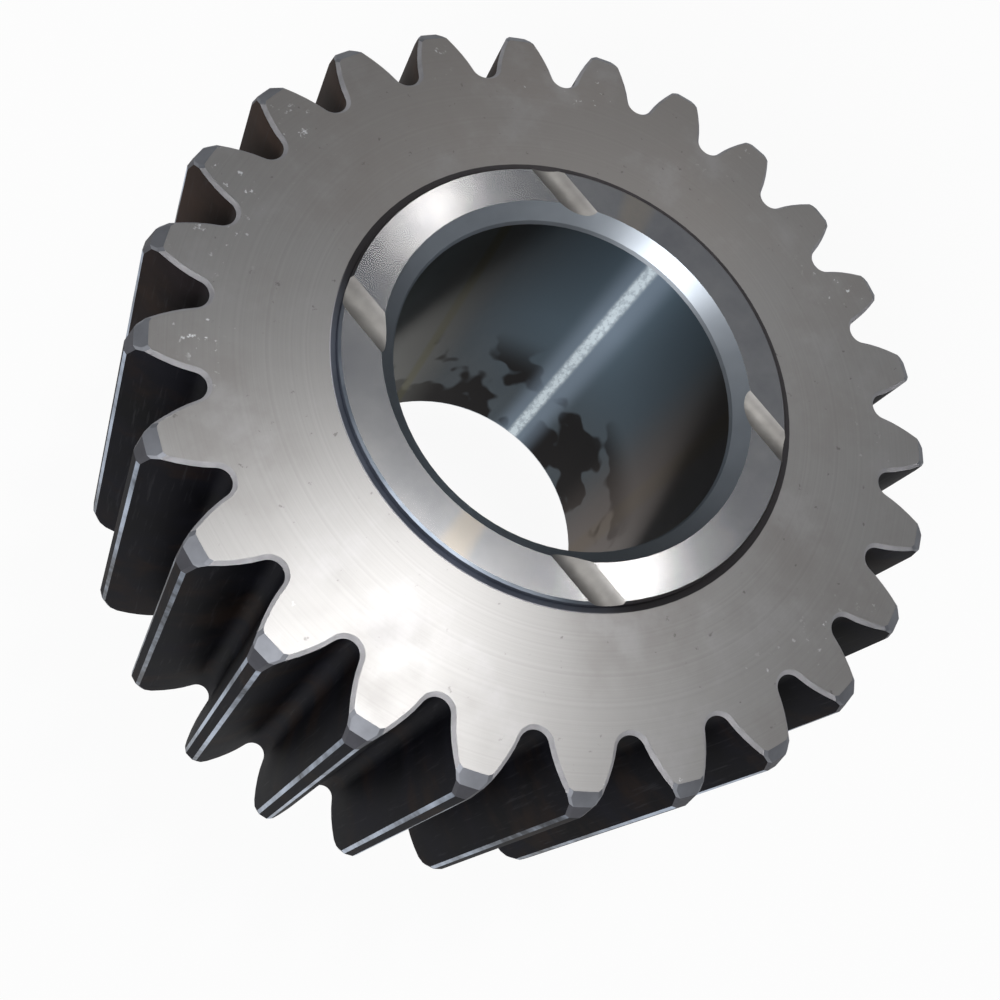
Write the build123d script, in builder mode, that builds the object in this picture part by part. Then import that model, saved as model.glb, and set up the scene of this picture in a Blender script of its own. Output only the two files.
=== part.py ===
from build123d import *
from math import acos, cos, pi, radians, sin, tan
import os

os.makedirs("parts", exist_ok=True)

# Spur gear for a heavy gearbox: straight involute teeth, a plain bore, and a thrust boss
# with oil grooves on both faces. All sizes are in millimetres. The axis is Z, the origin is
# the middle of the gear on its axis, and the middle of one tooth lies on +X.

# Tooth system
MODULE = 10.0
TEETH = 25
PRESSURE_ANGLE = 20.0
PROFILE_SHIFT = 0.6            # in modules, positive: stout roots and narrow tips
ADDENDUM = 1.0                 # in modules
DEDENDUM = 1.25                # in modules
FACE_WIDTH = 158.0             # between the two web faces

# Bore
BORE_RADIUS = 60.0
LEAD_IN = 0.6                  # small break where the bore meets its chamfer
LEAD_IN_LENGTH = 1.5
BORE_CHAMFER = 5.5             # 45 degrees, from the top of the boss

# Thrust boss, the same on both faces
BOSS_RADIUS = 79.0
BOSS_HEIGHT = 2.0
BOSS_EDGE = 0.8
RELIEF_WIDTH = 2.4             # turned relief round the foot of the boss
RELIEF_DEPTH = 0.9

# Oil grooves: two parallel chords across each boss
GROOVE_OFFSET = 46.0           # from the axis to the middle of a groove
GROOVE_WIDTH = 10.0
GROOVE_DEPTH = 1.9
GROOVE_ANGLE = -4.6            # degrees from the tooth on +X to the offset direction

# Tooth ends: two turned chamfers, then every edge is broken by a file
END_CHAMFER_RADIAL = 4.0
END_CHAMFER_AXIAL = 3.0
TIP_TAPER_RADIAL = 2.1
TIP_TAPER_AXIAL = 6.5
END_EDGE = 1.3                 # break along the profile on both faces
TIP_EDGE = 0.8                 # break along both edges of each tip

pressure = radians(PRESSURE_ANGLE)
pitch_radius = MODULE * TEETH / 2
base_radius = pitch_radius * cos(pressure)
root_radius = pitch_radius - (DEDENDUM - PROFILE_SHIFT) * MODULE
tip_radius = pitch_radius + (ADDENDUM + PROFILE_SHIFT) * MODULE
flank_start = root_radius + 0.345 * MODULE
shoulder_radius = tip_radius - TIP_TAPER_RADIAL
chamfer_radius = shoulder_radius - END_CHAMFER_RADIAL
web = FACE_WIDTH / 2
top = web + BOSS_HEIGHT


def involute(angle):
    return tan(angle) - angle


def half_space(radius):
    """Half the angle of the space between two teeth, at a radius."""
    half_tooth = pi / (2 * TEETH) + 2 * PROFILE_SHIFT * tan(pressure) / TEETH
    half_tooth += involute(pressure) - involute(acos(base_radius / radius))
    return pi / TEETH - half_tooth


def blank_radius(depth):
    """Outer radius of the turned blank, at a depth below a web face."""
    if depth < END_CHAMFER_AXIAL:
        return chamfer_radius + depth * END_CHAMFER_RADIAL / END_CHAMFER_AXIAL
    taper = min(depth - END_CHAMFER_AXIAL, TIP_TAPER_AXIAL) / TIP_TAPER_AXIAL
    return shoulder_radius + taper * TIP_TAPER_RADIAL


def space_outline(depth, height):
    """Outline of one tooth space on +X, with its edges broken, at a depth below a web face."""
    spread = max(END_EDGE - depth, 0.0)
    outer = blank_radius(depth)

    def wall(radius, extra=0.0):
        angle = half_space(radius) + (spread + extra) / radius
        return radius * cos(angle), radius * sin(angle)

    step = (outer - TIP_EDGE - flank_start) / 4
    flank = [wall(flank_start + i * step) for i in range(5)]
    land = wall(outer, TIP_EDGE)
    lip = (2 * land[0] - flank[-1][0], 2 * land[1] - flank[-1][1])
    far = tip_radius + MODULE
    with BuildSketch(Plane.XY.offset(height)) as outline:
        with BuildLine():
            ThreePointArc((flank[0][0], -flank[0][1]), (root_radius - spread, 0), flank[0])
            Spline(*flank)
            Polyline(flank[-1], lip, (far, lip[1]), (far, -lip[1]), (lip[0], -lip[1]),
                     (flank[-1][0], -flank[-1][1]))
            Spline(*[(x, -y) for x, y in reversed(flank)])
        make_face()
    return outline.sketch


# The turned blank: bore, chamfers, bosses, reliefs and tapered ends in one revolved section
with BuildPart() as blank:
    with BuildSketch(Plane.XZ):
        with BuildLine():
            upper = [
                (BORE_RADIUS, 0),
                (BORE_RADIUS, top - BORE_CHAMFER - LEAD_IN_LENGTH + LEAD_IN),
                (BORE_RADIUS + LEAD_IN, top - BORE_CHAMFER + LEAD_IN),
                (BORE_RADIUS + BORE_CHAMFER, top),
                (BOSS_RADIUS - BOSS_EDGE, top),
                (BOSS_RADIUS, top - BOSS_EDGE),
                (BOSS_RADIUS, web - RELIEF_DEPTH),
                (BOSS_RADIUS + RELIEF_WIDTH, web),
                (chamfer_radius, web),
                (shoulder_radius, web - END_CHAMFER_AXIAL),
                (tip_radius, web - END_CHAMFER_AXIAL - TIP_TAPER_AXIAL),
                (tip_radius, 0),
            ]
            Polyline(*upper, *[(r, -z) for r, z in reversed(upper[1:-1])], close=True)
        make_face()
    revolve(axis=Axis.Z)

# One tooth space as a solid: ruled between outlines that follow the ends of the blank
depths = [-END_EDGE, 0, END_EDGE, END_CHAMFER_AXIAL, END_CHAMFER_AXIAL + TIP_TAPER_AXIAL]
with BuildPart() as space:
    upper_half = [space_outline(depth, web - depth) for depth in depths]
    lower_half = [space_outline(depth, depth - web) for depth in reversed(depths)]
    loft(upper_half + lower_half, ruled=True)

with BuildPart() as gear:
    add(blank.part)
    with PolarLocations(0, TEETH, start_angle=180 / TEETH):
        add(space.part, mode=Mode.SUBTRACT)
    # Oil grooves, cut by a round tool that runs straight across the boss
    tool = (GROOVE_WIDTH**2 / 4 + GROOVE_DEPTH**2) / (2 * GROOVE_DEPTH)
    for side in (1, -1):
        height = side * (top - GROOVE_DEPTH + tool)
        for offset in (GROOVE_OFFSET, -GROOVE_OFFSET):
            with Locations(Location((0, 0, height), (0, 0, GROOVE_ANGLE))):
                with Locations(Location((offset, 0, 0), (90, 0, 0))):
                    Cylinder(tool, 2 * BOSS_RADIUS, mode=Mode.SUBTRACT)

gear.part.label = "gear"
export_step(gear.part, "parts/gear.step")
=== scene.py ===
import bmesh
import bpy
from math import cos, pi, radians
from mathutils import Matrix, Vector


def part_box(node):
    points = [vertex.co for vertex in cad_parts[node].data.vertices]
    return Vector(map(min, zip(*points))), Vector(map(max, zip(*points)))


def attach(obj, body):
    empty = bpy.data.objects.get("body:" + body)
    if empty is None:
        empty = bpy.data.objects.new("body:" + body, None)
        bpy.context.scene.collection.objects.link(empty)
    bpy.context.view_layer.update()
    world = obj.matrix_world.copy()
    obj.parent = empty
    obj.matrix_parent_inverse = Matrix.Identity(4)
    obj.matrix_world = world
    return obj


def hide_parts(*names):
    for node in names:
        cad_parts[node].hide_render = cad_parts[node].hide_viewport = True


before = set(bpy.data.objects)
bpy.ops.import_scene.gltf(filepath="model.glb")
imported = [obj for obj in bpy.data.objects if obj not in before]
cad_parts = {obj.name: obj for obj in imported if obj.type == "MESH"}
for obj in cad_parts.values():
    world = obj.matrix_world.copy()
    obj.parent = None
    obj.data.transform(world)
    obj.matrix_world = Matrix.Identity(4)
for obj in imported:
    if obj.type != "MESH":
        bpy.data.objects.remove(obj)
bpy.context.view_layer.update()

# The camera looks down on the upper face from 30 degrees off the gear's axis, close enough for
# the near teeth to spread. Its lens is shifted a little to the left and down.
scene = bpy.context.scene
camera = bpy.data.objects.new("camera", bpy.data.cameras.new("camera"))
scene.collection.objects.link(camera)
camera.data.lens = 47.2
camera.data.shift_x, camera.data.shift_y = -0.0483, -0.0435
camera.location = (0.2461, 0.0243, 0.4350)
camera.rotation_euler = (radians(23.795), radians(-21.139), radians(132.0))
scene.camera = camera

# Floor: a wide matt white board that the gear lies on. It takes a faint soft shadow, and the
# camera and the polished metal see it almost evenly white, as if it had its own light.
OWN_LIGHT = 0.94
gear_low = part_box("gear")[0]
floor_mesh = bmesh.new()
bmesh.ops.create_grid(floor_mesh, x_segments=8, y_segments=8, size=3.0)
bmesh.ops.translate(floor_mesh, vec=(0, 0, gear_low.z), verts=floor_mesh.verts)
floor = bpy.data.objects.new("floor", bpy.data.meshes.new("floor"))
floor_mesh.to_mesh(floor.data)
floor_mesh.free()
scene.collection.objects.link(floor)


class Wire:
    """A socket of a node tree. Arithmetic on it adds Math nodes to that tree."""

    def __init__(self, tree, socket=None):
        self.tree, self.socket = tree, socket

    def node(self, kind, sockets=None, out=0, stops=(), **settings):
        """Adds one node: its settings first, then the values or links of its sockets."""
        made = self.tree.nodes.new(kind)
        for name, value in settings.items():
            setattr(made, name, value)
        for i, (place, colour) in enumerate(stops):
            point = made.color_ramp.elements[i]
            point.position, point.color = place, (*colour, 1)
        for name, value in (sockets or {}).items():
            if isinstance(value, Wire):
                self.tree.links.new(value.socket, made.inputs[name])
            else:
                made.inputs[name].default_value = value
        return Wire(self.tree, made.outputs[out])

    def math(self, operation, *values):
        return self.node("ShaderNodeMath", dict(enumerate(values)), operation=operation)

    def __add__(self, other):
        return self.math("ADD", self, other)

    def __sub__(self, other):
        return self.math("SUBTRACT", self, other)

    def __rsub__(self, other):
        return self.math("SUBTRACT", other, self)

    def __mul__(self, other):
        return self.math("MULTIPLY", self, other)

    def __pow__(self, other):
        return self.math("POWER", self, other)

    __radd__, __rmul__ = __add__, __mul__


board = bpy.data.materials.new("matt_white_board")
board.use_nodes = True
coat = Wire(board.node_tree)
plain = coat.node("ShaderNodeBsdfDiffuse", {"Color": (0.86, 0.86, 0.85, 1), "Roughness": 1.0})
bright = coat.node("ShaderNodeEmission", {"Color": (1, 1, 1, 1), "Strength": 1.0})
by_camera = coat.node("ShaderNodeLightPath", out="Is Camera Ray")
by_metal = coat.node("ShaderNodeLightPath", out="Is Glossy Ray")
by_glass = coat.node("ShaderNodeLightPath", out="Is Transmission Ray")
seen = coat.math("MAXIMUM", coat.math("MAXIMUM", by_camera, by_metal), by_glass)
mixed = coat.node("ShaderNodeMixShader", {0: seen * OWN_LIGHT, 1: plain, 2: bright})
board.node_tree.links.new(mixed.socket, board.node_tree.nodes["Material Output"].inputs["Surface"])
floor.data.materials.append(board)

# Studio light: a lamp high behind the gear that the turned faces pick up, a broad one low in
# front of it, two small weak ones behind it that the ground bosses pick up, and a plain room.
room = bpy.data.worlds.new("plain_room")
room.use_nodes = True
room.node_tree.nodes["Background"].inputs["Color"].default_value = (0.90, 0.94, 1.0, 1)
room.node_tree.nodes["Background"].inputs["Strength"].default_value = 0.15
scene.world = room


def studio_lamp(name, toward, distance, size, watts, colour):
    """A square lamp that looks at the middle of the gear from a direction."""
    lamp = bpy.data.objects.new(name, bpy.data.lights.new(name, "AREA"))
    lamp.data.shape, lamp.data.size = "SQUARE", size
    lamp.data.energy, lamp.data.color = watts, colour
    lamp.location = Vector(toward).normalized() * distance
    lamp.rotation_euler = lamp.location.to_track_quat("Z", "Y").to_euler()
    scene.collection.objects.link(lamp)


studio_lamp("high_lamp", (-0.219, 0.007, 0.976), 2.0, 0.25, 8.8, (1.0, 1.0, 0.99))
studio_lamp("front_lamp", (0.816, 0.071, 0.574), 2.0, 0.8, 24, (0.97, 0.98, 1.0))
studio_lamp("far_lamp_left", (-0.549, -0.235, 0.802), 3.0, 0.09, 0.25, (1.0, 0.98, 0.95))
studio_lamp("far_lamp_right", (-0.480, 0.102, 0.871), 3.0, 0.07, 0.36, (1.0, 0.98, 0.95))

# The gear: one forged blank of case-hardening steel, turned on both faces, bored, hobbed, and
# ground on the thrust bosses and in the bore. It is one piece, so its finishes are told apart
# by how far out each face lies and which way it faces.
shape = bmesh.new()
shape.from_mesh(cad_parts["gear"].data)
bmesh.ops.remove_doubles(shape, verts=shape.verts, dist=1e-6)

# Radii where one surface meets the next, in metres
BORE, BOSS = 0.0600, 0.0790
CHAMFER, BOSS_EDGE, RELIEF = BORE + 0.0055, BOSS - 0.0008, BOSS + 0.0024
TIP = max(vertex.co.xy.length for vertex in shape.verts)
SHOULDER = TIP - 0.0021
TOOTH_END = SHOULDER - 0.0040

# How far a face is turned towards the axis, from 0 on a wall to 1 on a flat end
FLAT, SLOPING, UPRIGHT = 0.9999, 0.5, 0.05

# How far outwards a tip break faces: more than a flank does, and less than a tip land
TIP_BREAK = 0.6, 0.95

# Faces that meet at less than this are shaded as one smooth surface
CREASE = radians(15)

# The finishes, in the order in which their materials are made below
FINISHES = [
    "turned_web", "ground_boss", "boss_edge", "relief", "oil_groove", "bore_chamfer",
    "honed_bore", "tooth_flank", "tip_break", "end_bevel", "end_taper", "stoned_edge",
]


def finish_of(face):
    """The finish of one face, working from the bore out to the tips of the teeth."""
    middle = face.calc_center_median()
    radius = middle.xy.length
    along, outwards = abs(face.normal.z), face.normal.xy.dot(middle.xy.normalized())
    if radius < BORE:
        return "honed_bore"
    if radius < CHAMFER:
        return "bore_chamfer"
    if radius < BOSS_EDGE:
        return "ground_boss" if along > FLAT else "oil_groove"
    if radius < RELIEF:
        return "boss_edge" if along > SLOPING and outwards > SLOPING else "relief"
    if along > FLAT:
        return "turned_web"
    if along > UPRIGHT and radius < TOOTH_END:
        return "stoned_edge"
    if along > UPRIGHT:
        return "end_bevel" if along > SLOPING else "end_taper"
    on_tip = radius > SHOULDER and TIP_BREAK[0] < outwards < TIP_BREAK[1]
    return "tip_break" if on_tip else "tooth_flank"


for face in shape.faces:
    face.smooth = True
    face.material_index = FINISHES.index(finish_of(face))
for edge in shape.edges:
    edge.smooth = edge.calc_face_angle(pi) < CREASE
body = bpy.data.objects.new("gear_body", bpy.data.meshes.new("gear_body"))
shape.to_mesh(body.data)
shape.free()
scene.collection.objects.link(body)


class Metal(Wire):
    """One finish of the gear: its material, its metal shader and the patterns on it."""

    def __init__(self, name, **fixed):
        material = bpy.data.materials.new(name)
        material.use_nodes = True
        super().__init__(material.node_tree)
        self.shader = self.tree.nodes["Principled BSDF"]
        for socket, value in fixed.items():
            self.shader.inputs[socket.replace("_", " ")].default_value = value
        body.data.materials.append(material)
        self.place = self.node("ShaderNodeTexCoord", out="Object")
        split = self.node("ShaderNodeSeparateXYZ", {0: self.place}).socket.node
        x, y, self.z = [Wire(self.tree, part) for part in split.outputs]
        self.reach = (x * x + y * y) ** 0.5
        self.turn = self.math("ARCTAN2", y, x)

    def feed(self, **wires):
        """Links what changes over the surface to the metal shader."""
        for socket, wire in wires.items():
            self.tree.links.new(wire.socket, self.shader.inputs[socket.replace("_", " ")])

    def rings(self, per_metre, detail=3.0):
        """Fine rings round the axis, as a turning tool leaves them."""
        sockets = {"W": self.reach, "Scale": per_metre, "Detail": detail, "Roughness": 0.7}
        return self.node("ShaderNodeTexNoise", sockets, noise_dimensions="1D")

    def cloud(self, scale, detail=4.0, stretch=(1, 1, 1), shift=(0, 0, 0)):
        """Soft uneven patches, drawn out along an axis whose stretch is below 1."""
        sockets = {"Vector": self.place, "Location": shift, "Scale": stretch}
        moved = self.node("ShaderNodeMapping", sockets)
        sockets = {"Vector": moved, "Scale": scale, "Detail": detail, "Roughness": 0.6}
        return self.node("ShaderNodeTexNoise", sockets)

    def shades(self, pattern, dark, light, low=0.3, high=0.7):
        """From dark, where the pattern is low, to light, where it is high."""
        return self.node("ShaderNodeValToRGB", {0: pattern}, stops=[(low, dark), (high, light)])

    def mask(self, wire, low, high):
        """0 below low, 1 above high, and smooth between them."""
        sockets = {0: wire, 1: low, 2: high, 3: 0.0, 4: 1.0}
        return self.node("ShaderNodeMapRange", sockets, interpolation_type="SMOOTHSTEP")

    def mix(self, cover, tone, colour):
        """The tone where cover is 0, and the colour over it where cover is 1."""
        sockets = {0: cover, 6: tone, 7: (*colour, 1)}
        return self.node("ShaderNodeMix", sockets, out=2, data_type="RGBA")

    def bump(self, height, strength, distance):
        """Fine marks cut into the surface, at most a distance deep, in metres."""
        sockets = {"Height": height, "Strength": strength, "Distance": distance}
        return self.node("ShaderNodeBump", sockets)

    def facing(self, azimuth):
        """1 on the side at an azimuth round the axis, in degrees, and -1 on the opposite one."""
        return self.math("COSINE", self.turn - radians(azimuth))

    def beside(self, azimuth, width):
        """1 along a line at an azimuth round the axis, falling to 0 a width away, in degrees."""
        return self.mask(self.facing(azimuth), cos(radians(width)), 1.0)


# Web faces: dry turned steel, with faint rings from the tool, a thin brown film of old
# coolant, pale patches, dark specks, and bright nicks near the teeth, from knocks. A quarter
# turn draws the highlight out across the rings.
ACROSS_MARKS = 0.25
steel = Metal("turned_web", Metallic=1.0, Anisotropic=0.32, Anisotropic_Rotation=ACROSS_MARKS)
fine, coarse = steel.rings(5200), steel.rings(900, 5.0)
tone = steel.shades(coarse, (0.39, 0.38, 0.375), (0.43, 0.42, 0.415))
film = steel.mask(steel.cloud(17.0, 6.0), 0.42, 0.72)
tone = steel.mix(film * 0.5, tone, (0.27, 0.25, 0.238))
# Painted shade: the web is darker and browner on the side at azimuth 225.
tone = steel.mix(steel.beside(225, 75) * 0.45, tone, (0.36, 0.325, 0.30))
haze = steel.mask(steel.cloud(38.0, 5.0, shift=(0.7, 0.2, 0)), 0.5, 0.75)
tone = steel.mix(haze * 0.5, tone, (0.50, 0.49, 0.50))
speck = steel.mask(steel.cloud(240.0, 4.0), 0.66, 0.73)
tone = steel.mix(speck * 0.6, tone, (0.15, 0.14, 0.135))
nick = steel.mask(steel.cloud(300.0, 4.0, shift=(0.3, 0.1, 0)), 0.64, 0.69)
near_teeth = steel.mask(steel.reach, 0.105, 0.12)
nick = nick * steel.mask(steel.cloud(22.0, 2.0), 0.5, 0.6) * near_teeth
steel.feed(
    Base_Color=steel.mix(nick, tone, (0.92, 0.92, 0.94)),
    Roughness=0.35 + 0.07 * fine + 0.05 * film,
    Normal=steel.bump(fine * 0.4 + coarse * 0.1 - speck * 0.4 - nick, 0.25, 0.00005),
)

# Thrust bosses: ground after hardening, much smoother than the web, with two narrow bright warm
# streaks on opposite sides, which are painted highlights of a warm light.
steel = Metal("ground_boss", Metallic=1.0)
fine = steel.rings(9000)
rubbed = steel.cloud(45.0, 6.0)
tone = steel.shades(rubbed, (0.62, 0.62, 0.65), (0.84, 0.83, 0.83))
warm_highlight = (steel.beside(11, 5) + steel.beside(203, 6)) * (0.5 + rubbed)
steel.feed(
    Base_Color=steel.mix(warm_highlight * 0.6, tone, (1.0, 0.88, 0.72)),
    Roughness=0.145 + 0.03 * fine,
)

# The broken outer edge of a boss: a narrow cool line, darkened by painted shade all round but
# for the side at azimuth 355, which is left lighter.
LIT_SIDE = 355
steel = Metal("boss_edge", Metallic=1.0)
tone = steel.shades(steel.cloud(60.0), (0.24, 0.28, 0.33), (0.42, 0.46, 0.52))
painted_shade = 1 - steel.mask(steel.facing(LIT_SIDE), 0.45, 0.80)
tone = steel.mix(painted_shade, tone, (0.12, 0.11, 0.11))
steel.feed(Base_Color=tone, Roughness=0.45 + 0.15 * steel.cloud(150.0))

# The relief turned round the foot of a boss: grey, with a painted highlight along its outer rim
# on the side at azimuth 355, and darkened by painted shade on the rest.
steel = Metal("relief", Metallic=1.0)
tone = steel.shades(steel.cloud(40.0), (0.15, 0.165, 0.20), (0.24, 0.26, 0.31))
rim_highlight = steel.mask(steel.reach, RELIEF - 0.0005, RELIEF - 0.0002)
tone = steel.mix(rim_highlight, tone, (0.95, 0.93, 0.97))
painted_shade = 1 - steel.mask(steel.facing(LIT_SIDE), 0.45, 0.80)
tone = steel.mix(painted_shade, tone, (0.07, 0.065, 0.068))
steel.feed(Base_Color=tone, Roughness=0.5 + 0.2 * steel.cloud(90.0))

# Oil grooves: round troughs cut across a boss by a milling cutter, matt, with old oil in them.
steel = Metal("oil_groove", Metallic=1.0)
tone = steel.shades(steel.cloud(50.0), (0.30, 0.285, 0.27), (0.52, 0.50, 0.475))
cut = steel.cloud(900.0, 3.0, stretch=(1, 0.06, 1))
steel.feed(
    Base_Color=tone,
    Roughness=0.50 + 0.2 * steel.cloud(120.0),
    Normal=steel.bump(cut, 0.2, 0.00005),
)

# The chamfer at each end of the bore: turned bright, with painted shade on the side at azimuth 20.
steel = Metal("bore_chamfer", Metallic=1.0, Anisotropic=0.4, Anisotropic_Rotation=ACROSS_MARKS)
fine = steel.rings(6000)
tone = steel.shades(steel.cloud(20.0), (0.48, 0.52, 0.57), (0.66, 0.71, 0.76))
tone = steel.mix(steel.beside(20, 130) * 0.9, tone, (0.17, 0.18, 0.19))
steel.feed(
    Base_Color=tone,
    Roughness=0.42 + 0.10 * fine,
    Normal=steel.bump(fine, 0.2, 0.00004),
)

# The bore: honed, oiled and dark blue, with a painted highlight along it as one bright line in a
# painted glow, duller bands beside it, and brown stains with hard edges in its lower half.
steel = Metal("honed_bore", Metallic=1.0, Anisotropic=0.9, Anisotropic_Rotation=ACROSS_MARKS)
haze = steel.cloud(26.0, 5.0, stretch=(1, 1, 0.5))
tone = steel.shades(haze, (0.030, 0.034, 0.036), (0.085, 0.088, 0.090), 0.35, 0.65)
# Painted reflection: a broad lighter blue zone on the side at azimuth 186, brighter towards the
# upper end.
upper = steel.mask(steel.z, -0.05, 0.02)
tone = steel.mix(steel.beside(186, 62) * (0.35 + 0.6 * upper), tone, (0.10, 0.145, 0.185))
lower = 1 - steel.mask(steel.z, -0.03, 0.0)
patch = steel.cloud(24.0, 3.0, stretch=(1, 1, 0.7), shift=(0.2, 0, 0.4))
stain = steel.mask(patch, 0.50, 0.53) * lower * (1 - steel.beside(188, 6))
tone = steel.mix(stain * 0.9, tone, (0.016, 0.012, 0.011))
bands = [
    # azimuth, width, cover, colour
    (112, 45, 0.8, (0.17, 0.14, 0.125)),
    (262, 34, 0.8, (0.13, 0.13, 0.12)),
    (127, 6, 0.7, (0.15, 0.12, 0.09)),
    (244, 3, 0.8, (0.095, 0.090, 0.052)),
]
for azimuth, width, cover, colour in bands:
    tone = steel.mix(steel.beside(azimuth, width) * cover, tone, colour)
# Painted highlight: a bright line at azimuth 189, with a painted glow round it and glints along
# it.
tone = steel.mix(steel.beside(188, 13) ** 2 * 0.9, tone, (0.22, 0.28, 0.35))
glint = steel.mask(steel.cloud(600.0, 3.0, stretch=(1, 1, 0.6)), 0.35, 0.65)
painted_highlight_line = steel.beside(189, 3.6) ** 3 * (0.6 + 0.6 * glint)
tone = steel.mix(painted_highlight_line, tone, (0.78, 0.88, 0.94))
hone = steel.cloud(900.0, 4.0, stretch=(1, 1, 0.10))
steel.feed(
    Base_Color=tone,
    Roughness=0.34 + 0.10 * haze + 0.1 * stain,
    Normal=steel.bump(hone, 0.1, 0.00003),
)

# Tooth flanks, roots and tip lands: hobbed, hardened black and oiled, browner where the oil
# has dried, with faint grey hob marks along them.
steel = Metal("tooth_flank", Metallic=0.0, Specular_IOR_Level=0.03)
stain = steel.cloud(30.0)
tone = steel.shades(stain, (0.001, 0.001, 0.002), (0.008, 0.008, 0.012), 0.35, 0.70)
brown = steel.mask(steel.cloud(38.0, 5.0, shift=(0.4, 0, 0.2)), 0.48, 0.68)
tone = steel.mix(brown * 0.6, tone, (0.017, 0.010, 0.007))
# Painted light: the flanks are lighter and browner in patches on the side at azimuth 262.
tone = steel.mix(steel.beside(262, 55) * stain, tone, (0.075, 0.048, 0.036))
hob = steel.cloud(800.0, 3.0, stretch=(1, 1, 0.06))
tone = steel.mix(steel.mask(hob, 0.56, 0.75) * 0.25, tone, (0.05, 0.05, 0.055))
steel.feed(
    Base_Color=tone,
    Roughness=0.50 + 0.2 * stain,
    Normal=steel.bump(hob, 0.25, 0.00005),
)

# Breaks along both edges of each tip: filed bright through the black of hardening, further on
# some teeth than on others.
steel = Metal("tip_break", Metallic=1.0)
worn = steel.cloud(26.0, 3.0, stretch=(1, 1, 0.3)) * 0.8 + steel.cloud(160.0) * 0.2
tone = steel.shades(worn, (0.02, 0.025, 0.035), (0.42, 0.48, 0.58), 0.42, 0.58)
steel.feed(Base_Color=tone, Roughness=0.35 + 0.2 * steel.cloud(200.0))

# The first turned chamfer on each tooth end: matt blue-grey.
steel = Metal("end_bevel", Metallic=1.0)
tone = steel.shades(steel.cloud(60.0), (0.25, 0.255, 0.275), (0.37, 0.38, 0.41))
steel.feed(Base_Color=tone, Roughness=0.58 + 0.14 * steel.cloud(150.0))

# The steeper taper outside it, with the black of hardening still on it.
steel = Metal("end_taper", Metallic=0.0, Specular_IOR_Level=0.3)
tone = steel.shades(steel.cloud(60.0), (0.030, 0.030, 0.036), (0.065, 0.065, 0.078))
steel.feed(Base_Color=tone, Roughness=0.50 + 0.2 * steel.cloud(150.0))

# The break along each tooth's profile: stoned round, so that it runs softly into the face. It
# is shaded as if it faced mostly the way that the web does.
WEB_WEIGHT = 7.0
steel = Metal("stoned_edge", Metallic=1.0)
tone = steel.shades(steel.cloud(110.0), (0.36, 0.355, 0.37), (0.52, 0.51, 0.53))
own_way = steel.node("ShaderNodeNewGeometry", out="Normal")
web_way = steel.node("ShaderNodeCombineXYZ", {2: steel.math("SIGN", steel.z) * WEB_WEIGHT})
softened = steel.node("ShaderNodeVectorMath", {0: own_way, 1: web_way}, operation="ADD")
softened = steel.node("ShaderNodeVectorMath", {0: softened}, operation="NORMALIZE")
steel.feed(Base_Color=tone, Roughness=0.46 + 0.16 * steel.cloud(200.0), Normal=softened)

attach(body, "root")
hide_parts("gear")

scene.view_settings.view_transform = "Standard"
